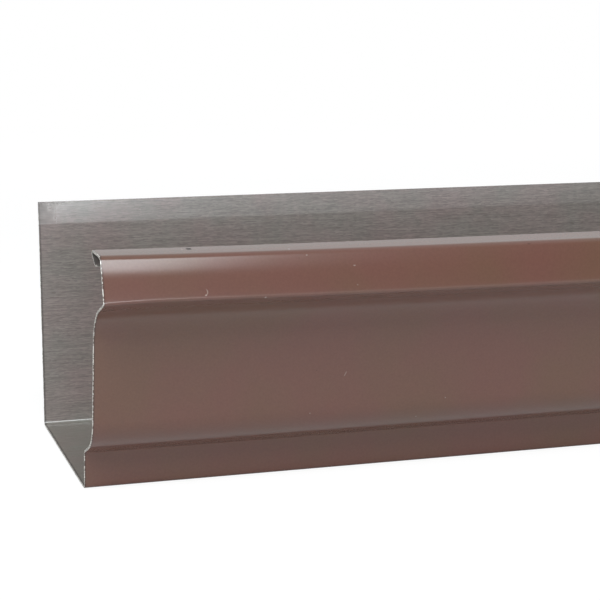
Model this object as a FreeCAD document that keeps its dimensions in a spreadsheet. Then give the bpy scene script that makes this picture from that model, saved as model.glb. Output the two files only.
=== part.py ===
import FreeCAD, Part
import math
import os

import Sketcher

# Rain gutter of the K style: one sheet of coated aluminium, roll-formed to an ogee front with a
# folded hem, cut square at both ends. All sizes are in millimetres.
# +X runs along the gutter, +Y points at the wall it hangs on, +Z is up.

SIZES = [
    ("gutterLength", 3048.0, "stock length, ten feet"),
    ("sheetThickness", 0.7, "coil stock"),
    ("backHeight", 82.0, "underside of the floor to the top edge of the back"),
    ("bandHeight", 8.0, "strip along the top of the back that leans off the wall plane"),
    ("bandLean", 0.7, "how far the top edge stands behind the wall plane"),
    ("bottomWidth", 85.0, "wall plane to the front corner of the floor"),
    ("riserHeight", 12.2, "short wall at the front of the floor"),
    ("riserLean", 2.2, "how far the riser leans out over its height"),
    ("lowerStepWidth", 15.2, "run of the lower step"),
    ("lowerStepRise", 5.7, "climb of the lower step"),
    ("faceHeight", 41.3, "main face between the two steps"),
    ("faceLean", 8.8, "how far the main face leans out over its height"),
    ("upperStepWidth", 17.8, "run of the upper step"),
    ("upperStepRise", 6.8, "climb of the upper step"),
    ("beadLowerHeight", 6.4, "lower half of the bead face, from the nose up"),
    ("beadLowerLean", 1.5, "how far that half leans back in"),
    ("beadUpperHeight", 6.5, "upper half of the bead face"),
    ("beadUpperLean", 3.0, "how far that half leans back in"),
    ("hemWidth", 12.1, "flat top of the hem, from the bead to its fold"),
    ("hemRise", 0.4, "climb of the hem top towards the wall"),
    ("lipLength", 5.0, "lip folded back under the hem top"),
    ("lipAngle", 26.0, "degrees between the hem top and its lip"),
    ("bendRadius", 0.8, "inside radius of the tight bends"),
    ("backCornerRadius", 1.2, "inside radius of the bend between back wall and floor"),
    ("bandRadius", 8.0, "inside radius of the bend under the leaning strip"),
    ("ovoloRadius", 13.5, "inside radius of the convex curve over the lower step"),
    ("cavettoRadius", 17.0, "inside radius of the hollow curve under the upper step"),
    ("noseRadius", 1.4, "inside radius of the nose"),
    ("crownRadius", 25.0, "inside radius of the bulge of the bead face"),
    ("foldRadius", 0.35, "inside radius of the fold between hem top and lip"),
]

# Theoretical sharp corners of the outer surface, from the wall round to the hem, with the inside
# radius of each bend. Each corner is a step across and a step up from the corner before it.
CORNERS = [
    ("riserTop", "riserLean", -1, "riserHeight", "bendRadius"),
    ("ovolo", "lowerStepWidth", -1, "lowerStepRise", "ovoloRadius"),
    ("cavetto", "faceLean", -1, "faceHeight", "cavettoRadius"),
    ("nose", "upperStepWidth", -1, "upperStepRise", "noseRadius"),
    ("crown", "beadLowerLean", 1, "beadLowerHeight", "crownRadius"),
    ("beadTop", "beadUpperLean", 1, "beadUpperHeight", "bendRadius"),
    ("hemEnd", "hemWidth", 1, "hemRise", None),
]

LEFT, RIGHT = 1, -1      # which way the sheet turns, followed from the back edge to the lip
START, END, CENTRE = 1, 2, 3      # the named points of a line or an arc in a sketch
ORIGIN = (-1, START)      # the sketch's own origin


def addSizes(doc):
    sheet = doc.addObject("Spreadsheet::Sheet", "Sizes")
    for row, (alias, value, note) in enumerate(SIZES, start=1):
        sheet.set(f"A{row}", alias)
        sheet.set(f"B{row}", str(value))
        sheet.set(f"C{row}", note)
        sheet.setAlias(f"B{row}", alias)
    doc.recompute()
    return {alias: float(sheet.get(alias)) for alias, _, _ in SIZES}


def sharpCorners(size):
    """Corner points and inside radii of the outer surface, back edge first."""
    wall = size["bottomWidth"]
    bandFoot = size["backHeight"] - size["bandHeight"]
    points = [(wall + size["bandLean"], size["backHeight"]), (wall, bandFoot), (wall, 0), (0, 0)]
    radii = [None, size["bandRadius"], size["backCornerRadius"], size["bendRadius"]]
    for _, across, side, up, radius in CORNERS:
        lastAcross, lastUp = points[-1]
        points.append((lastAcross + side * size[across], lastUp + size[up]))
        radii.append(size[radius] if radius else None)
    return [FreeCAD.Vector(across, up, 0) for across, up in points], radii


def turnOf(before, after):
    return LEFT if before.cross(after).z > 0 else RIGHT


def outerSegments(size):
    """Straight runs and tangent bends of the outer surface, as (first, last, centre, turn)."""
    thickness = size["sheetThickness"]
    points, radii = sharpCorners(size)
    segments = []
    first = points[0]
    for before, corner, after, inside in zip(points, points[1:], points[2:], radii[1:]):
        arriving = (corner - before).normalize()
        leaving = (after - corner).normalize()
        turn = turnOf(arriving, leaving)
        radius = inside + (thickness if turn == RIGHT else 0)
        reach = radius * math.tan(arriving.getAngle(leaving) / 2)
        last = corner - arriving * reach
        inward = FreeCAD.Vector(-arriving.y, arriving.x, 0) * turn
        segments.append((first, last, None, None))
        first = corner + leaving * reach
        segments.append((last, first, last + inward * radius, turn))
    segments.append((first, points[-1], None, None))

    # the hem top folds back on itself and ends in the lip
    along = (points[-1] - first).normalize()
    radius = size["foldRadius"] + thickness
    centre = points[-1] + FreeCAD.Vector(along.y, -along.x, 0) * radius
    sweep = FreeCAD.Rotation(FreeCAD.Vector(0, 0, 1), size["lipAngle"] - 180)
    lipStart = centre + sweep.multVec(points[-1] - centre)
    lipEnd = lipStart + sweep.multVec(along) * size["lipLength"]
    segments.append((points[-1], lipStart, centre, RIGHT))
    segments.append((lipStart, lipEnd, None, None))
    return segments


def innerSegments(segments, thickness):
    """The same runs and bends one sheet thickness further in."""
    def shifted(point, first, last, centre, turn):
        if centre is None:
            along = (last - first).normalize()
            return point + FreeCAD.Vector(along.y, -along.x, 0) * thickness
        spoke = point - centre
        return centre + spoke * ((spoke.Length + turn * thickness) / spoke.Length)
    return [(shifted(s[0], *s), shifted(s[1], *s), s[2], s[3]) for s in segments]


def addChain(sketch, segments):
    """Draws the runs and bends; gives each one's number and which of its ends comes first."""
    chain = []
    for first, last, centre, turn in segments:
        if centre is None:
            chain.append((sketch.addGeometry(Part.LineSegment(first, last)), START, END))
            continue
        circle = Part.Circle(centre, FreeCAD.Vector(0, 0, 1), (first - centre).Length)
        ends = (first, last) if turn == LEFT else (last, first)
        arc = Part.ArcOfCircle(circle, *(circle.parameter(point) for point in ends))
        order = (START, END) if turn == LEFT else (END, START)
        chain.append((sketch.addGeometry(arc), *order))
    for (one, _, oneEnd), (two, twoEnd, _) in zip(chain, chain[1:]):
        sketch.addConstraint(Sketcher.Constraint("Tangent", one, oneEnd, two, twoEnd))
    return chain


def addSize(sketch, name, kind, where, value, expression):
    """A dimension of the sketch, bound to the sheet."""
    number = sketch.addConstraint(Sketcher.Constraint(kind, *where, value))
    sketch.renameConstraint(number, name)
    sketch.setExpression(f".Constraints.{name}", expression)


def addStep(sketch, name, axis, low, high, size, alias):
    addSize(sketch, name, f"Distance{axis}", (*low, *high), size[alias], f"Sizes.{alias}")


def addCorner(sketch, point, lineBefore, lineAfter):
    """A theoretical corner: the point where two straight runs would meet."""
    corner = sketch.addGeometry(Part.Point(point), True)
    sketch.addConstraint(Sketcher.Constraint("PointOnObject", corner, START, lineBefore))
    sketch.addConstraint(Sketcher.Constraint("PointOnObject", corner, START, lineAfter))
    return (corner, START)


def addSection(body, size):
    sketch = body.newObject("Sketcher::SketchObject", "Section")
    planes = {feature.Role: feature for feature in body.Origin.OriginFeatures}
    sketch.AttachmentSupport = [(planes["YZ_Plane"], "")]
    sketch.MapMode = "FlatFace"

    outerShape = outerSegments(size)
    outer = addChain(sketch, outerShape)
    innerShape = innerSegments(outerShape, size["sheetThickness"])
    inner = addChain(sketch, innerShape)

    # the cut edges of the sheet, at the back edge and at the lip
    for number, (outerEnd, innerEnd) in ((0, (1, 1)), (-1, (2, 2))):
        ends = outerShape[number][outerEnd - 1], innerShape[number][innerEnd - 1]
        edge = sketch.addGeometry(Part.LineSegment(*ends))
        outerLine, innerLine = outer[number][0], inner[number][0]
        sketch.addConstraint([
            Sketcher.Constraint("Coincident", edge, START, outerLine, outerEnd),
            Sketcher.Constraint("Coincident", edge, END, innerLine, innerEnd),
            Sketcher.Constraint("Perpendicular", edge, outerLine),
            Sketcher.Constraint("Parallel", outerLine, innerLine),
        ])

    # bends: the far side of each is one sheet thickness further from the shared centre
    names = ["band", "backCorner", "frontCorner"] + [corner[0] for corner in CORNERS[:-1]] + ["fold"]
    inside = ["bandRadius", "backCornerRadius", "bendRadius"]
    inside += [corner[4] for corner in CORNERS[:-1]] + ["foldRadius"]
    for name, alias, outerArc, innerArc, shape in zip(
            names, inside, outer[1::2], inner[1::2], outerShape[1::2]):
        near, far = (innerArc, outerArc) if shape[3] == RIGHT else (outerArc, innerArc)
        sketch.addConstraint(
            Sketcher.Constraint("Coincident", near[0], CENTRE, far[0], CENTRE))
        addSize(sketch, f"{name}Inside", "Radius", (near[0],), size[alias], f"Sizes.{alias}")
        addSize(sketch, f"{name}Outside", "Radius", (far[0],),
                size[alias] + size["sheetThickness"], f"Sizes.{alias} + Sizes.sheetThickness")

    # the theoretical corners, and the steps between them
    runs = [line[0] for line in outer[0::2]]
    points, _ = sharpCorners(size)
    corners = [(runs[0], START)]
    for point, before, after in zip(points[1:-1], runs, runs[1:]):
        corners.append(addCorner(sketch, point, before, after))
    corners.append((runs[-2], END))
    edge, band, back, front = corners[:4]
    sketch.addConstraint([
        Sketcher.Constraint("Coincident", *front, *ORIGIN),
        Sketcher.Constraint("Horizontal", *front, *back),
        Sketcher.Constraint("Vertical", *back, *band),
    ])
    addStep(sketch, "bottomWidth", "X", front, back, size, "bottomWidth")
    addStep(sketch, "backHeight", "Y", front, edge, size, "backHeight")
    addStep(sketch, "bandHeight", "Y", band, edge, size, "bandHeight")
    addStep(sketch, "bandLean", "X", band, edge, size, "bandLean")
    for (name, across, side, up, _), last, this in zip(CORNERS, corners[3:], corners[4:]):
        low, high = (last, this) if side > 0 else (this, last)
        addStep(sketch, f"{name}Across", "X", low, high, size, across)
        addStep(sketch, f"{name}Up", "Y", last, this, size, up)

    # the lip
    hemTop, lip = runs[-2], runs[-1]
    addSize(sketch, "lipLength", "Distance", (lip,), size["lipLength"], "Sizes.lipLength")
    addSize(sketch, "lipAngle", "Angle", (hemTop, END, lip, START),
            math.radians(size["lipAngle"]), "Sizes.lipAngle * 1 deg")
    return sketch


def addGutter(doc, size):
    body = doc.addObject("PartDesign::Body", "GutterSection")
    body.Label = "gutter_section"
    section = addSection(body, size)
    run = body.newObject("PartDesign::Pad", "Run")
    run.Profile = section
    run.SideType = "Symmetric"
    run.setExpression("Length", "Sizes.gutterLength")
    doc.recompute()
    if not section.FullyConstrained:
        raise RuntimeError("the section isn't fully constrained")

    # stand the underside on the floor, centred over the origin
    box = body.Shape.BoundBox
    body.Placement.Base = FreeCAD.Vector(-box.Center.x, -box.Center.y, -box.ZMin)
    doc.recompute()
    return body


def checkModel(doc, parts):
    for item in doc.Objects:
        if "Invalid" in item.State or "Error" in item.State:
            raise RuntimeError(f"{item.Label} failed: {item.State}")
    for part in parts:
        if part.Shape.isNull() or not part.Shape.isValid() or len(part.Shape.Solids) != 1:
            raise RuntimeError(f"{part.Label} is not one valid solid")


def main():
    doc = FreeCAD.newDocument("GutterSection")
    size = addSizes(doc)
    parts = [addGutter(doc, size)]
    checkModel(doc, parts)
    os.makedirs("parts", exist_ok=True)
    for part in parts:
        part.Shape.exportStep(f"parts/{part.Label}.step")
        box = part.Shape.BoundBox
        print(f"{part.Label}: {box.XLength:.1f} x {box.YLength:.2f} x {box.ZLength:.2f} mm, "
              f"{part.Shape.Volume / 1000:.1f} cm3")


main()
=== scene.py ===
import math

import bpy
from mathutils import Matrix, Vector


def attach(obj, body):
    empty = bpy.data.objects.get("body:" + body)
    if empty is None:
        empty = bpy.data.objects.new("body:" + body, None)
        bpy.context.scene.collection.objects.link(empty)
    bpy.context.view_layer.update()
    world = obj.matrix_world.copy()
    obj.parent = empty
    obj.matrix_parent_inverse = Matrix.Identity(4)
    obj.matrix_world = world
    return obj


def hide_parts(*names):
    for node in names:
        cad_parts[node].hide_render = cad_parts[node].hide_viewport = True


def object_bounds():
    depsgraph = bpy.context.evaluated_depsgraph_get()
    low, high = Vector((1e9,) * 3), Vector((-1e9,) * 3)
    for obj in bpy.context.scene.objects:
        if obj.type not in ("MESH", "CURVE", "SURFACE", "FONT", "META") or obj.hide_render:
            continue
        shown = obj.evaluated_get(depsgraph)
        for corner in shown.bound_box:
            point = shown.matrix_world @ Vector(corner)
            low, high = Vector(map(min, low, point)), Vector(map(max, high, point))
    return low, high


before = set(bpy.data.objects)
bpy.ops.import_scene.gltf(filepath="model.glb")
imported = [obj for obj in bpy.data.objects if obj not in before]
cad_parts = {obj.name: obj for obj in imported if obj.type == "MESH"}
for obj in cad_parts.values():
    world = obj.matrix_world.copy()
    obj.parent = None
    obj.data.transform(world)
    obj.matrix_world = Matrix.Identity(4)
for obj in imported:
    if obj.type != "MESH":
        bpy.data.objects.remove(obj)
cadLow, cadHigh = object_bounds()
mm = 0.001


# the outer surface as sharp corners, in millimetres: each step (across, up) leads to the next
# corner, and the number beside it is the inside radius of the bend there
section = {
    "sheetThickness": 0.7,
    "backTop": (85.7, 82.0),
    "steps": [
        ((-0.7, -8.0), 8.0),       # leaning strip along the top of the back
        ((0.0, -74.0), 1.2),       # back wall
        ((-85.0, 0.0), 0.8),       # floor
        ((-2.2, 12.2), 0.8),       # riser
        ((-15.2, 5.7), 13.5),      # lower step
        ((-8.8, 41.3), 17.0),      # main face
        ((-17.6, 6.45), 0.35),     # upper step, up to the nose
        ((2.1, 8.55), 26.0),       # bead face, from the nose up
        ((2.2, 4.55), 1.9),        # bead face, upper part
        ((12.1, 0.55), None),      # hem top
    ],
    "foldRadius": 0.35,            # inside the hem fold
    "lipAngle": 26.0,              # degrees that the fold falls short of flat
    "lipLength": 5.0,
    "runSpacing": 0.6,             # between points on the straight runs
    "bendStep": 7.0,               # degrees between points round a tight bend
}


def inwards(along):
    # the inside of the gutter lies to the right of the way round
    return Vector((along.y, -along.x))


def middleLine():
    # points (across, up, flatness) of the sheet's middle line; flatness is 0 at the bends
    half = section["sheetThickness"] / 2
    corners = [Vector(section["backTop"])]
    for step, _ in section["steps"]:
        corners.append(corners[-1] + Vector(step))
    radii = [radius for _, radius in section["steps"]]
    line = []

    def run(first, last):
        count = max(1, round((last - first).length / section["runSpacing"]))
        for number in range(count + 1):
            share = number / count
            point = first.lerp(last, share)
            line.append((point.x, point.y, math.sin(math.pi * share)))

    def bend(centre, spoke, turn):
        steps = max(4, round(abs(math.degrees(turn)) / section["bendStep"]),
                    round(abs(turn) * spoke.length / section["runSpacing"]))
        for number in range(1, steps):
            point = centre + Matrix.Rotation(turn * number / steps, 2) @ spoke
            line.append((point.x, point.y, 0.0))

    start = corners[0]
    for before, corner, after, radius in zip(corners, corners[1:], corners[2:], radii):
        arriving, leaving = (corner - before).normalized(), (after - corner).normalized()
        turn = math.atan2(arriving.cross(leaving), arriving.dot(leaving))
        outer = radius + (2 * half if turn < 0 else 0)
        middle = radius + half
        reach = outer * math.tan(abs(turn) / 2)
        stop = corner - arriving * reach
        run(start + inwards(arriving) * half, stop + inwards(arriving) * half)
        side = inwards(arriving) * (1 if turn < 0 else -1)
        centre = stop + side * outer
        bend(centre, -side * middle, turn)
        start = corner + leaving * reach
    along = (corners[-1] - start).normalized()
    run(start + inwards(along) * half, corners[-1] + inwards(along) * half)

    # the hem folds back under itself and ends in the open lip
    turn = math.radians(section["lipAngle"] - 180)
    centre = corners[-1] + inwards(along) * (section["foldRadius"] + 2 * half)
    spoke = -inwards(along) * (section["foldRadius"] + half)
    bend(centre, spoke, turn)
    lip = Matrix.Rotation(turn, 2) @ along
    start = centre + Matrix.Rotation(turn, 2) @ spoke
    run(start, start + lip * section["lipLength"])
    return line


def sectionMesh():
    line = middleLine()
    outerEdge = cadHigh.y - section["backTop"][0] * mm
    mesh = bpy.data.meshes.new("sectionLine")
    places = [(0, across * mm + outerEdge, up * mm) for across, up, _ in line]
    mesh.from_pydata(places, [(n, n + 1) for n in range(len(places) - 1)], [])
    flatness = mesh.attributes.new("flatness", "FLOAT", "POINT")
    flatness.data.foreach_set("value", [flat for _, _, flat in line])
    print("section drawn,", len(line), "points")
    return mesh


# short ways to add and join nodes
class Tree:
    def __init__(self, nodeTree):
        self.tree = nodeTree
        self.count = 0

    def add(self, kind, settings=None, **inputs):
        node = self.tree.nodes.new(kind)
        self.count += 1
        node.location = (180 * (self.count % 12), -260 * (self.count // 12))   # rows of twelve
        for name, value in (settings or {}).items():
            setattr(node, name, value)
        for name, value in inputs.items():
            self.set(node, name, value)
        return node

    def feed(self, socket, value):
        # a node or an output is linked, anything else is written on the socket
        if isinstance(value, bpy.types.Node):
            value = next(s for s in value.outputs if s.enabled)
        if isinstance(value, bpy.types.NodeSocket):
            self.tree.links.new(value, socket)
        else:
            socket.default_value = value

    def set(self, node, name, value):
        wanted = name.replace("_", " ").lower()
        self.feed(next(s for s in node.inputs if s.enabled and s.name.lower() == wanted), value)

    def math(self, operation, *values):
        node = self.add("ShaderNodeMath", {"operation": operation})
        for socket, value in zip(node.inputs, values):
            self.feed(socket, value)
        return node.outputs[0]

    def vector(self, operation, *values):
        node = self.add("ShaderNodeVectorMath", {"operation": operation})
        for socket, value in zip(node.inputs, values):
            self.feed(socket, value)
        return node.outputs["Value" if operation == "DOT_PRODUCT" else "Vector"]

    def pushed(self, normal, distance):
        # the normal, as long as the distance
        node = self.add("ShaderNodeVectorMath", {"operation": "SCALE"}, Vector=normal, Scale=distance)
        return node.outputs[0]

    def noise(self, place, scale, detail):
        return self.add("ShaderNodeTexNoise", Vector=place, Scale=scale, Detail=detail)

    def axis(self, place, name):
        return self.add("ShaderNodeSeparateXYZ", Vector=place).outputs[name]

    def cells(self, place, scale):
        # distance from the middle of each cell, and two random numbers for the cell
        node = self.add("ShaderNodeTexVoronoi", {"feature": "F1"}, Vector=place, Scale=scale)
        drawn = self.add("ShaderNodeSeparateColor", Color=node.outputs["Color"]).outputs
        return node.outputs["Distance"], drawn["Red"], drawn["Green"]

    def mixColour(self, share, first, second, blend="MIX"):
        # the node's sockets for two colours are 6 and 7, and 2 and 3 for two numbers
        node = self.add("ShaderNodeMix", {"data_type": "RGBA", "blend_type": blend})
        for number, value in ((0, share), (6, first), (7, second)):
            self.feed(node.inputs[number], (*value, 1) if isinstance(value, tuple) else value)
        return node.outputs[2]

    def mixNumber(self, share, first, second):
        node = self.add("ShaderNodeMix", {"data_type": "FLOAT"})
        for number, value in ((0, share), (2, first), (3, second)):
            self.feed(node.inputs[number], value)
        return node.outputs[0]

    def ramp(self, value, stops):
        node = self.add("ShaderNodeValToRGB", Fac=value)
        elements = node.color_ramp.elements
        while len(elements) < len(stops):
            elements.new(0.5)
        for element, (place, colour) in zip(elements, stops):
            element.position = place
            element.color = (*colour, 1) if isinstance(colour, tuple) else (colour,) * 3 + (1,)
        return node.outputs[0]

    def below(self, value, limit, softness):
        # 1 where the value is under the limit, 0 above it
        node = self.add("ShaderNodeMapRange", {"interpolation_type": "SMOOTHSTEP"}, Value=value,
                        To_Min=1, To_Max=0)
        for name, shift in (("From Min", -softness), ("From Max", softness)):
            fixed = isinstance(limit, (int, float))
            self.set(node, name, limit + shift if fixed else self.math("ADD", limit, shift))
        return node.outputs[0]


def newMaterial(name):
    material = bpy.data.materials.new(name)
    material.use_nodes = True
    return material, Tree(material.node_tree), material.node_tree.nodes["Principled BSDF"]


def scaled(colour, factor):
    return tuple(channel * factor for channel in colour)


def fromCut(tree, place):
    # distance of a point from the nearer sawn end
    return tree.math("SUBTRACT", cadHigh.x, tree.math("ABSOLUTE", tree.axis(place, "X")))


paint = {
    "colour": (0.151, 0.064, 0.042),
    "rosy": (0.156, 0.061, 0.043),     # drifts of tint in the coil coating
    "olive": (0.146, 0.067, 0.040),
    "driftScale": 32.0,
    "grainScale": 1500.0,
    "grainDepth": 0.06,            # share that the grain lightens or darkens
    "roughness": 0.45,             # of the matted body of the paint
    "bodyGloss": 0.13,
    "coatRoughness": 0.21,         # of its clear top
    "coatIndex": 1.74,
    "peelScale": 420.0,            # orange peel
    "peelHeight": 0.0000015,
    "speckCells": 60.0,            # to the metre, each with one speck at most
    "speckSize": 0.022,            # share of a cell
    "speckRarity": 0.72,
    "speckColour": (0.42, 0.36, 0.30),
    "speckShare": 0.5,
    "chipWidth": 0.00016,          # paint broken away along the saw cut
    "chipSoftness": 0.00003,
    "burrShadowWidth": 0.00055,        # width of the painted shadow of the saw burr, reckoned from the cut
    "burrShadowSoftness": 0.00025,
    "burrShadowShare": 0.5,
    "burrShadowColour": (0.03, 0.02, 0.015),
}

washCoat = {
    "colour": (0.269, 0.228, 0.210),
    "rosy": (0.280, 0.226, 0.212),
    "green": (0.258, 0.231, 0.210),
    "driftScale": 60.0,
    "roughness": 0.24,
    "index": 1.75,                 # the thin coat lets the metal gleam through
    "gloss": 1.0,
    "dashes": (600.0, 3500.0, 3500.0),     # rolling marks to the metre, short and long
    "lines": (70.0, 3500.0, 3500.0),
    "dashDepth": 0.34,             # spread of lightness from mark to mark
    "lineDepth": 0.22,
    "grainHeight": 0.000008,
    "floorTop": 0.0015,            # below this height the coat is smoother and greener, and darker as painted shade on the trough floor
    "floorSoftness": 0.0004,
    "floorTintAndShade": (0.84, 0.90, 0.85),
    "floorCalm": 0.6,              # share of the marks that the floor loses
    # painted shadow of the saw burr beside the cut, on the inside
    "burrShadowWidth": 0.0006,
    "burrShadowSoftness": 0.0003,
    "burrShadowShare": 0.6,
    "burrShadowColour": (0.04, 0.036, 0.032),
}

shadedStripEnd = {                   # dull, mottled corner at the very end of the leaning strip; its darkening is painted shade where the end reflects less light
    "stripFoot": 0.0740,
    "reach": 0.0040,
    "softness": 0.0065,
    "blotchScale": 230.0,
    "raggedness": 0.024,
    "share": 0.75,
    "darkness": 0.4,               # of the wash coat's colour, in that painted shade
    "roughness": 0.28,             # on top of the wash coat's
}

cutMetal = {
    "colour": (0.95, 0.90, 0.82),
    "metallic": 0.2,
    "roughness": 0.45,
    "toothScale": 1700.0,
    "grooveShadeDepth": 0.30,           # lightness between the teeth, painted shade in the grooves of the cut
}

dust = {
    "topFrom": 0.0787,             # the rounded fold ends and the hem top begins at this height
    "pale": (0.62, 0.54, 0.48),
    "dark": (0.01, 0.008, 0.006),
    # side, millimetres along from the left end, millimetres up (or across on the hem top), half
    # length, half width, slant in degrees, bow per millimetre, strength (dark below zero)
    "marks": [
        ("front", 30.80, 68.75, 0.85, 0.10, 86, 0.65, 0.50),
        ("front", 30.25, 67.95, 0.26, 0.14, 10, 0, 0.70),
        ("front", 48.30, 66.35, 0.22, 0.20, 0, 0, 0.70),
        ("front", 76.50, 74.45, 0.32, 0.14, 0, 0, 0.35),
        ("front", 77.00, 68.80, 0.15, 0.15, 0, 0, 0.35),
        ("front", 62.00, 78.00, 0.22, 0.15, 0, 0, 0.30),
        ("front", 59.50, 77.20, 0.35, 0.12, 90, 0, -0.35),
        ("front", 134.30, 78.30, 0.50, 0.15, 0, 0, -0.35),
        ("front", 80.40, 36.60, 0.75, 0.10, 66, 0, 0.35),
        ("front", 115.30, 25.90, 0.17, 0.17, 0, 0, 0.30),
        ("front", 106.30, 19.60, 0.17, 0.17, 0, 0, 0.28),
        ("front", 69.50, 23.90, 0.17, 0.17, 0, 0, 0.28),
        ("front", 70.80, 38.40, 0.18, 0.18, 0, 0, -0.35),
        ("top", 28.20, -50.10, 0.72, 1.20, 0, 0, -1.0),
        ("top", 26.10, -49.90, 0.25, 1.10, 0, 0, 0.25),
        ("top", 57.50, -56.50, 0.20, 0.70, 0, 0, 0.45),
    ],
}


def dusted(tree, place, tint):
    # the tint with its marks, and the share of the shine that they leave
    height = tree.axis(place, "Z")
    facing = tree.math("LESS_THAN", tree.axis(place, "Y"), 0)
    dull = 0
    for side, along, across, length, width, slant, bow, strength in dust["marks"]:
        turn = math.radians(slant)
        middle = Vector((cadLow.x + along * mm, 0, across * mm))
        lengthwise = Vector((math.cos(turn), 0, math.sin(turn)))
        widthwise = Vector((-math.sin(turn), 0, math.cos(turn)))
        level = tree.math("LESS_THAN", height, dust["topFrom"])
        if side == "top":          # lies down instead of standing
            middle, lengthwise, widthwise = middle.xzy, lengthwise.xzy, widthwise.xzy
            level = tree.math("GREATER_THAN", height, dust["topFrom"])
        away = tree.vector("SUBTRACT", place, middle)
        run = tree.vector("DOT_PRODUCT", away, lengthwise)
        rise = tree.vector("DOT_PRODUCT", away, widthwise)
        bowed = tree.math("MULTIPLY", tree.math("POWER", run, 2), bow / mm)
        rise = tree.math("SUBTRACT", rise, bowed)
        inLength = tree.math("LESS_THAN", tree.math("ABSOLUTE", run), length * mm)
        inWidth = tree.math("LESS_THAN", tree.math("ABSOLUTE", rise), width * mm)
        mask = tree.math("MULTIPLY", tree.math("MULTIPLY", inLength, inWidth), facing)
        mask = tree.math("MULTIPLY", tree.math("MULTIPLY", mask, level), abs(strength))
        tint = tree.mixColour(mask, tint, dust["pale"] if strength > 0 else dust["dark"])
        if strength < 0:
            dull = tree.math("MAXIMUM", mask, dull)
    return tint, tree.math("SUBTRACT", 1, dull)


def paintFinish():
    material, tree, shader = newMaterial("satinBrownPaint")
    place = tree.add("ShaderNodeTexCoord").outputs["Object"]
    drift = tree.noise(place, paint["driftScale"], 2.0)
    tint = tree.ramp(drift, [(0.36, paint["olive"]), (0.5, paint["colour"]), (0.64, paint["rosy"])])
    grain = tree.noise(place, paint["grainScale"], 2.0)
    grain = tree.ramp(grain, [(0.3, 1 - paint["grainDepth"]), (0.7, 1 + paint["grainDepth"])])
    tint = tree.mixColour(1.0, tint, grain, "MULTIPLY")

    # specks of grit and dust caught in the coat
    distance, size, rarity = tree.cells(place, paint["speckCells"])
    speck = tree.math("LESS_THAN", distance, tree.math("MULTIPLY", size, paint["speckSize"]))
    rare = tree.math("GREATER_THAN", rarity, paint["speckRarity"])
    speck = tree.math("MULTIPLY", tree.math("MULTIPLY", speck, rare), paint["speckShare"])
    tint = tree.mixColour(speck, tint, paint["speckColour"])
    tint, shine = dusted(tree, place, tint)

    # the saw broke the paint away in small chips, and a painted shadow of its burr darkens what is
    # next to them
    gap = fromCut(tree, place)
    teeth = tree.noise(place, cutMetal["toothScale"], 1.0)
    chip = tree.math("MULTIPLY", tree.ramp(teeth, [(0.48, 0.0), (0.54, 1.0)]), paint["chipWidth"])
    # painted shadow of the saw burr beside the cut
    burrShadow = tree.below(gap, paint["burrShadowWidth"], paint["burrShadowSoftness"])
    burrShadow = tree.math("MULTIPLY", burrShadow, paint["burrShadowShare"])
    tint = tree.mixColour(burrShadow, tint, paint["burrShadowColour"])
    bare = tree.below(gap, chip, paint["chipSoftness"])
    tint = tree.mixColour(bare, tint, cutMetal["colour"])

    tree.set(shader, "Base Color", tint)
    tree.set(shader, "Metallic", tree.math("MULTIPLY", bare, cutMetal["metallic"]))
    tree.set(shader, "Roughness", paint["roughness"])
    tree.set(shader, "Specular IOR Level", paint["bodyGloss"])
    tree.set(shader, "Coat Weight", shine)
    tree.set(shader, "Coat IOR", paint["coatIndex"])
    tree.set(shader, "Coat Roughness", paint["coatRoughness"])
    peel = tree.noise(place, paint["peelScale"], 2.0)
    tree.set(shader, "Normal",
             tree.add("ShaderNodeBump", Height=peel, Distance=paint["peelHeight"]))
    return material


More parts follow.
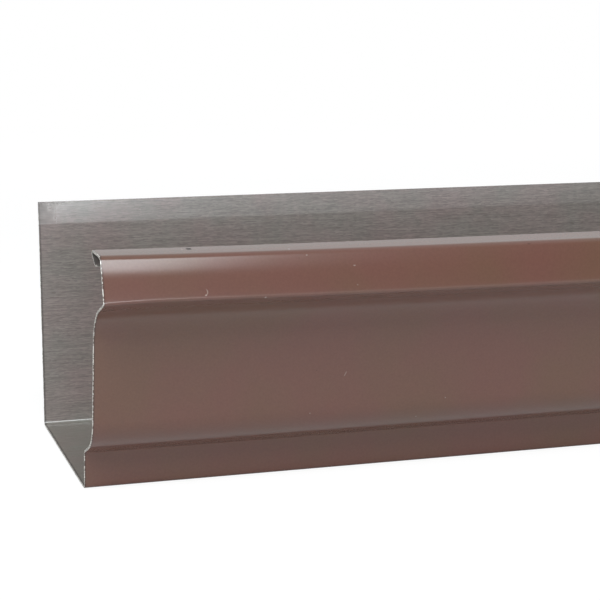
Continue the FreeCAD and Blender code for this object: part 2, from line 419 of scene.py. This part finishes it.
def washFinish():
    # thin grey-brown coat of the inside, over the rolling marks of the metal
    material, tree, shader = newMaterial("washCoat")
    place = tree.add("ShaderNodeTexCoord").outputs["Object"]
    height = tree.axis(place, "Z")
    gap = fromCut(tree, place)
    drift = tree.noise(place, washCoat["driftScale"], 2.0)
    tint = tree.ramp(drift, [(0.36, washCoat["green"]), (0.5, washCoat["colour"]),
                             (0.64, washCoat["rosy"])])

    # dashes and lines in the rolling direction, fainter on the floor
    marks = []
    for spacing, depth in (("dashes", "dashDepth"), ("lines", "lineDepth")):
        rolled = tree.add("ShaderNodeMapping", Vector=place, Scale=washCoat[spacing])
        mark = tree.cells(rolled, 1.0)[1]
        marks.append((mark, tree.math("MULTIPLY", tree.math("SUBTRACT", mark, 0.5), washCoat[depth])))
    (dash, dashLevel), (_, lineLevel) = marks
    onFloor = tree.below(height, washCoat["floorTop"], washCoat["floorSoftness"])
    kept = tree.math("SUBTRACT", 1, tree.math("MULTIPLY", onFloor, washCoat["floorCalm"]))
    level = tree.math("MULTIPLY_ADD", tree.math("ADD", dashLevel, lineLevel), kept, 1)
    grey = tree.add("ShaderNodeCombineColor", Red=level, Green=level, Blue=level)
    tint = tree.mixColour(1.0, tint, grey, "MULTIPLY")
    # greener tint, and darkened as painted shade on the trough floor
    tint = tree.mixColour(onFloor, tint, washCoat["floorTintAndShade"], "MULTIPLY")

    # painted shadow of the saw burr darkens the coat beside the cut
    burrShadow = tree.below(gap, washCoat["burrShadowWidth"], washCoat["burrShadowSoftness"])
    burrShadow = tree.math("MULTIPLY", burrShadow, washCoat["burrShadowShare"])
    tint = tree.mixColour(burrShadow, tint, washCoat["burrShadowColour"])

    # painted shade: a dull, darker, ragged patch at the very end of the leaning strip
    blotch = tree.noise(place, shadedStripEnd["blotchScale"], 3.0)
    ragged = tree.math("MULTIPLY_ADD", tree.math("SUBTRACT", blotch, 0.5),
                       shadedStripEnd["raggedness"], gap)
    stripEndShade = tree.below(ragged, shadedStripEnd["reach"], shadedStripEnd["softness"])
    stripEndShade = tree.math("MULTIPLY", stripEndShade, tree.ramp(blotch, [(0.34, 0.3), (0.6, 1.0)]))
    onStrip = tree.math("GREATER_THAN", height, shadedStripEnd["stripFoot"])
    stripEndShade = tree.math("MULTIPLY", stripEndShade, onStrip)
    tint = tree.mixColour(tree.math("MULTIPLY", stripEndShade, shadedStripEnd["share"]), tint,
                          scaled(washCoat["colour"], shadedStripEnd["darkness"]))
    roughness = tree.math("MULTIPLY_ADD", stripEndShade, shadedStripEnd["roughness"], washCoat["roughness"])

    tree.set(shader, "Base Color", tint)
    tree.set(shader, "Roughness", roughness)
    tree.set(shader, "IOR", washCoat["index"])
    tree.set(shader, "Specular IOR Level", washCoat["gloss"])
    tree.set(shader, "Normal",
             tree.add("ShaderNodeBump", Height=dash, Distance=washCoat["grainHeight"]))
    return material


def metalFinish():
    # bare metal of the cut edges, torn by the saw, with painted shade between the teeth
    material, tree, shader = newMaterial("cutMetal")
    place = tree.add("ShaderNodeTexCoord").outputs["Object"]
    teeth = tree.noise(place, cutMetal["toothScale"], 1.0)
    grooveShade = scaled(cutMetal["colour"], cutMetal["grooveShadeDepth"])
    tree.set(shader, "Base Color", tree.ramp(teeth, [(0.44, grooveShade), (0.54, cutMetal["colour"])]))
    tree.set(shader, "Roughness", cutMetal["roughness"])
    tree.set(shader, "Metallic", cutMetal["metallic"])
    return material


rollForming = {
    "Length": cadHigh.x - cadLow.x,
    "Sheet Thickness": section["sheetThickness"] * mm,
    "Stations": 61,                # rings of points along the length, closer near the ends
    "Ripple": 0.00006,             # how far the flats wander off true
    "Burr": 0.00007,               # how far the saw left the ends out of line
    "Tooth Scale": 900.0,
    "End Pinch": 0.0343,           # radians that the front springs inwards at the cut ends
    "Pinch Reach": 0.080,
    "Front Corner": cadHigh.y - section["backTop"][0] * mm,
    "Nose Height": 0.0658,
    "Nose Span": 0.012,
    "Nose Sag": 0.0009,            # the nose hangs a little right at the cuts
    "Sag Reach": 0.010,
    "Seed": 4.0,
}

rippleStretch = (5.0, 26.0, 26.0)  # waves to the metre, long ones along the gutter
noiseSpan = 4                      # brings noise about its middle to -1 to 1
weldDistance = 0.000001
endDepth = 0.0001                  # points this near an end belong to its cut
creaseAngle = math.radians(35)


def rollFormingTree(materialNames):
    nodeTree = bpy.data.node_groups.new("rollForming", "GeometryNodeTree")
    face = nodeTree.interface
    face.new_socket("Section", in_out="INPUT", socket_type="NodeSocketGeometry")
    for name, value in rollForming.items():
        kind = "NodeSocketInt" if isinstance(value, int) else "NodeSocketFloat"
        face.new_socket(name, in_out="INPUT", socket_type=kind)
    for name in materialNames:
        face.new_socket(name, in_out="INPUT", socket_type="NodeSocketMaterial")
    face.new_socket("Gutter", in_out="OUTPUT", socket_type="NodeSocketGeometry")
    tree = Tree(nodeTree)
    given = tree.add("NodeGroupInput").outputs

    def ofSection(kind, attribute):
        # a value of the section's point that this grid column follows
        node = tree.add("GeometryNodeSampleIndex", {"data_type": kind},
                        Geometry=given["Section"], Index=column)
        tree.set(node, "Value", attribute)
        return node

    def fading(distance, reach):
        return tree.math("EXPONENT", tree.math("MULTIPLY", tree.math("DIVIDE", distance, reach), -1))

    # one grid column for each point of the section
    size = tree.add("GeometryNodeAttributeDomainSize", Geometry=given["Section"])
    count = size.outputs["Point Count"]
    grid = tree.add("GeometryNodeMeshGrid", Size_X=1.0, Size_Y=1.0,
                    Vertices_X=given["Stations"], Vertices_Y=count)
    index = tree.add("GeometryNodeInputIndex")
    column = tree.math("MODULO", index, count)
    row = tree.math("FLOOR", tree.math("DIVIDE", index, count))
    lastRow = tree.math("SUBTRACT", given["Stations"], 1)

    # the rings stand closer near both ends
    across = tree.math("SUBTRACT", tree.math("DIVIDE", tree.math("MULTIPLY", row, 2), lastRow), 1)
    inside = tree.math("SUBTRACT", 1, tree.math("ABSOLUTE", across))
    eased = tree.math("SUBTRACT", 1, tree.math("POWER", inside, 2))
    half = tree.math("MULTIPLY", given["Length"], 0.5)
    along = tree.math("MULTIPLY", tree.math("MULTIPLY", eased, tree.math("SIGN", across)), half)
    fromEnd = tree.math("SUBTRACT", half, tree.math("ABSOLUTE", along))

    # the front springs inwards at the cuts, turning about the corner under the riser
    position = tree.add("GeometryNodeInputPosition")
    where = tree.add("ShaderNodeSeparateXYZ", Vector=ofSection("FLOAT_VECTOR", position))
    swing = tree.math("MULTIPLY", given["End Pinch"], fading(fromEnd, given["Pinch Reach"]))
    outwards = tree.math("SUBTRACT", given["Front Corner"], where.outputs["Y"])
    outwards = tree.math("MAXIMUM", outwards, 0)
    onFront = tree.math("GREATER_THAN", outwards, 0)
    pinched = tree.math("MULTIPLY", tree.math("MULTIPLY", swing, where.outputs["Z"]), onFront)
    lifted = tree.math("MULTIPLY_ADD", swing, outwards, where.outputs["Z"])

    # and the nose hangs
    nearNose = tree.math("ABSOLUTE", tree.math("SUBTRACT", where.outputs["Z"], given["Nose Height"]))
    nearNose = tree.math("SUBTRACT", 1, tree.math("DIVIDE", nearNose, given["Nose Span"]))
    nearNose = tree.math("MULTIPLY", tree.math("MAXIMUM", nearNose, 0), onFront)
    sag = tree.math("MULTIPLY", nearNose, fading(fromEnd, given["Sag Reach"]))
    sag = tree.math("MULTIPLY", sag, given["Nose Sag"])
    formed = tree.add("ShaderNodeCombineXYZ", X=along,
                      Y=tree.math("ADD", where.outputs["Y"], pinched),
                      Z=tree.math("SUBTRACT", lifted, sag))
    bent = tree.add("GeometryNodeSetPosition", Geometry=grid, Position=formed)

    # flats wander a little off true, bends stay where they are
    flat = tree.add("GeometryNodeInputNamedAttribute", {"data_type": "FLOAT"}, Name="flatness")
    flatness = ofSection("FLOAT", flat)
    wander = tree.add("ShaderNodeTexNoise", {"noise_dimensions": "4D"}, W=given["Seed"],
                      Vector=tree.vector("MULTIPLY", position, rippleStretch),
                      Scale=1.0, Detail=1.0)
    height = tree.math("MULTIPLY", tree.math("SUBTRACT", wander, 0.5), given["Ripple"])
    height = tree.math("MULTIPLY", tree.math("MULTIPLY", height, noiseSpan), flatness)
    normal = tree.add("GeometryNodeInputNormal")
    rippled = tree.add("GeometryNodeSetPosition", Geometry=bent, Offset=tree.pushed(normal, height))

    # the grid is the middle surface, so it steps back by half the thickness and is then thickened
    offset = tree.math("MULTIPLY", given["Sheet Thickness"], -0.5)
    lowered = tree.add("GeometryNodeSetPosition", Geometry=rippled,
                       Offset=tree.pushed(normal, offset))
    thick = tree.add("GeometryNodeExtrudeMesh", Mesh=lowered, Individual=False,
                     Offset_Scale=given["Sheet Thickness"])
    outer = tree.add("GeometryNodeSetMaterial", Geometry=thick.outputs["Mesh"],
                     Selection=thick.outputs["Top"], Material=given["Outside"])
    edged = tree.add("GeometryNodeSetMaterial", Geometry=outer,
                     Selection=thick.outputs["Side"], Material=given["Cut Edge"])
    flipped = tree.add("GeometryNodeFlipFaces", Mesh=lowered)
    inner = tree.add("GeometryNodeSetMaterial", Geometry=flipped, Material=given["Inside"])
    joined = tree.add("GeometryNodeJoinGeometry")
    for part in (inner, edged):
        nodeTree.links.new(part.outputs[0], joined.inputs[0])
    welded = tree.add("GeometryNodeMergeByDistance", Geometry=joined, Distance=weldDistance)

    # the saw leaves the two end rings out of line
    place = tree.add("ShaderNodeSeparateXYZ", Vector=position)
    fromCutEnd = tree.math("SUBTRACT", half, tree.math("ABSOLUTE", place.outputs["X"]))
    atEnd = tree.add("FunctionNodeCompare", {"operation": "LESS_THAN"}, A=fromCutEnd, B=endDepth)
    teeth = tree.add("ShaderNodeTexNoise", {"noise_dimensions": "4D"}, Vector=position,
                     W=given["Seed"], Scale=given["Tooth Scale"], Detail=2.0)
    jag = tree.math("MULTIPLY", tree.math("SUBTRACT", teeth, 0.5), given["Burr"])
    moved = tree.add("ShaderNodeCombineXYZ", X=tree.math("MULTIPLY", jag, noiseSpan))
    sawn = tree.add("GeometryNodeSetPosition", Geometry=welded, Selection=atEnd, Offset=moved)

    # nothing dips below the floor
    level = tree.add("ShaderNodeCombineXYZ", X=place.outputs["X"], Y=place.outputs["Y"],
                     Z=tree.math("MAXIMUM", place.outputs["Z"], 0))
    standing = tree.add("GeometryNodeSetPosition", Geometry=sawn, Position=level)

    # smooth faces, sharp along the cut edges
    smooth = tree.add("GeometryNodeSetShadeSmooth", {"domain": "FACE"}, Geometry=standing)
    angle = tree.add("GeometryNodeInputMeshEdgeAngle").outputs["Unsigned Angle"]
    sharp = tree.add("FunctionNodeCompare", {"operation": "GREATER_THAN"}, A=angle, B=creaseAngle)
    creased = tree.add("GeometryNodeSetShadeSmooth", {"domain": "EDGE"},
                       Geometry=smooth, Selection=sharp, Shade_Smooth=False)
    real = tree.add("GeometryNodeRealizeInstances", Geometry=creased)
    output = tree.add("NodeGroupOutput")
    nodeTree.links.new(real.outputs[0], output.inputs[0])
    return nodeTree


def plainMesh(worker, name):
    bpy.context.view_layer.update()
    graph = bpy.context.evaluated_depsgraph_get()
    mesh = bpy.data.meshes.new_from_object(worker.evaluated_get(graph), depsgraph=graph)
    mesh.name = name
    piece = bpy.data.objects.new(name, mesh)
    bpy.context.scene.collection.objects.link(piece)
    bpy.data.objects.remove(worker)
    return piece


def makeGutter():
    worker = bpy.data.objects.new("formingWork", sectionMesh())
    bpy.context.scene.collection.objects.link(worker)
    materials = {"Outside": paintFinish(), "Inside": washFinish(), "Cut Edge": metalFinish()}
    print("finishes mixed")
    modifier = worker.modifiers.new("rollForming", "NODES")
    modifier.node_group = rollFormingTree(materials)
    given = {**rollForming, **materials}
    for item in modifier.node_group.interface.items_tree:
        if item.name in given:
            modifier[item.identifier] = given[item.name]
    piece = plainMesh(worker, "gutterSheet")
    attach(piece, "root")
    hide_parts("gutter_section")
    print("gutter formed")


view = {
    # metres from the left end, from the back and from the floor
    "eye": Vector((cadLow.x - 0.0850, cadHigh.y - 0.5980, 0.1529)),
    "yaw": 17.03,                  # degrees right of straight at the wall
    "pitch": 10.13,                # degrees down
    "roll": 0.07,
    "lens": 100.66,
    "sensor": 36,
    "clip": (0.01, 100),
}

room = {
    "light": 0.27,                 # of the room on matt surfaces
    "sheen": 0.19,                 # the same room as the gloss shows it
    "backSheen": 0.61,             # sheen of the white wall behind
    "sheenEdge": -0.5,             # how far round the gloss begins to show that wall
}

paleFloor = {
    "reach": 8.0,
    "drop": 0.0002,                # a hair under the gutter, so that the two don't share a plane
    "colour": 0.67,
    "sheen": 0.80,                 # its colour as the gloss shows it
    "roughness": 0.9,
    "gloss": 0.1,
    "shade": 0.25,                 # share of the real shading that it keeps near the gutter
    "glow": 1.205,                 # makes up there for what the shading takes away
    "near": (1.0, 0.5),            # half the depth of that part, and its softness
}

lampColour = (0.95, 1.0, 1.03)

lamps = {                          # places are reckoned from the left end of the gutter
    "keySoftbox": {"place": (-0.35, -1.25, 1.52), "target": (-0.10, 0, 0.07),
                   "width": 1.6, "height": 1.00, "radiance": 5.7},
    "lowPanel": {"place": (-0.03, -1.70, 0.19), "target": (-0.1, 0, 0.08),
                 "width": 0.6, "height": 0.34, "radiance": 6.7},
    "paleWall": {"place": (0.68, -1.70, 0.20), "target": (0.1, 0, 0.08),
                 "width": 0.8, "height": 0.34, "radiance": 0.63},
    "sideLamp": {"place": (-0.45, -0.50, 0.40), "target": (0.02, -0.02, 0.05),
                 "width": 0.35, "height": 0.35, "radiance": 1.0},
}


def makeCamera():
    camera = bpy.data.objects.new("camera", bpy.data.cameras.new("camera"))
    bpy.context.scene.collection.objects.link(camera)
    camera.data.lens = view["lens"]
    camera.data.sensor_width = view["sensor"]
    camera.data.clip_start, camera.data.clip_end = view["clip"]
    camera.location = view["eye"]
    camera.rotation_euler = [math.radians(angle) for angle in
                             (90 - view["pitch"], view["roll"], -view["yaw"])]
    bpy.context.scene.camera = camera


def makeLamp(name, values):
    lamp = bpy.data.lights.new(name, "AREA")
    lamp.shape, lamp.size, lamp.size_y = "RECTANGLE", values["width"], values["height"]
    lamp.color = lampColour
    lamp.energy = values["radiance"] * math.pi * values["width"] * values["height"]
    holder = bpy.data.objects.new(name, lamp)
    bpy.context.scene.collection.objects.link(holder)
    place, target = Vector(values["place"]), Vector(values["target"])
    holder.location = Vector((cadLow.x, 0, 0)) + place
    holder.rotation_euler = (target - place).to_track_quat("-Z", "Y").to_euler()
    holder.visible_camera = False


def seenStraight(tree):
    # rays from the eye, also through clear things
    ray = tree.add("ShaderNodeLightPath").outputs
    straight = tree.math("MAXIMUM", ray["Is Camera Ray"], ray["Is Transmission Ray"])
    return straight, ray["Is Glossy Ray"]


def makeWorld():
    world = bpy.data.worlds.new("studioWorld")
    bpy.context.scene.world = world
    world.use_nodes = True
    tree = Tree(world.node_tree)
    background = world.node_tree.nodes["Background"]
    straight, glossy = seenStraight(tree)
    towards = tree.add("ShaderNodeTexCoord").outputs["Generated"]
    rise = tree.add("ShaderNodeMapRange", {"interpolation_type": "SMOOTHSTEP"},
                    Value=tree.axis(towards, "Y"), From_Min=room["sheenEdge"], From_Max=0.0,
                    To_Min=room["sheen"], To_Max=room["backSheen"])
    light = tree.mixNumber(glossy, room["light"], rise)
    tree.set(background, "Color", (1, 1, 1, 1))
    tree.set(background, "Strength", tree.mixNumber(straight, light, 1.0))


def makeFloor():
    mesh = bpy.data.meshes.new("floor")
    reach, drop = paleFloor["reach"], paleFloor["drop"]
    corners = ((-reach, -reach), (reach, -reach), (reach, reach), (-reach, reach))
    mesh.from_pydata([(x, y, -drop) for x, y in corners], [], [(0, 1, 2, 3)])
    floor = bpy.data.objects.new("floor", mesh)
    bpy.context.scene.collection.objects.link(floor)
    material, tree, shader = newMaterial("paleFloor")
    tree.set(shader, "Roughness", paleFloor["roughness"])
    tree.set(shader, "Specular IOR Level", paleFloor["gloss"])
    straight, glossy = seenStraight(tree)
    pale = tree.mixNumber(glossy, paleFloor["colour"], paleFloor["sheen"])
    tree.set(shader, "Base Color",
             tree.add("ShaderNodeCombineColor", Red=pale, Green=pale, Blue=pale))

    # to the eye it is white, with a little of the real shading near the gutter
    place = tree.add("ShaderNodeTexCoord").outputs["Object"]
    near = tree.below(tree.math("ABSOLUTE", tree.axis(place, "Y")), *paleFloor["near"])
    glow = tree.add("ShaderNodeEmission", Color=(1, 1, 1, 1),
                    Strength=tree.mixNumber(near, 1.0, paleFloor["glow"]))
    white = tree.math("MULTIPLY", straight, tree.mixNumber(near, 1.0, 1 - paleFloor["shade"]))
    mix = tree.add("ShaderNodeMixShader", Fac=white)
    tree.feed(mix.inputs[1], shader)
    tree.feed(mix.inputs[2], glow)
    tree.set(tree.tree.nodes["Material Output"], "Surface", mix)
    mesh.materials.append(material)


makeGutter()
makeCamera()
makeWorld()
makeFloor()
for lampName, lampValues in lamps.items():
    makeLamp(lampName, lampValues)
bpy.context.scene.view_settings.view_transform = "Standard"
print("camera, light and floor set")
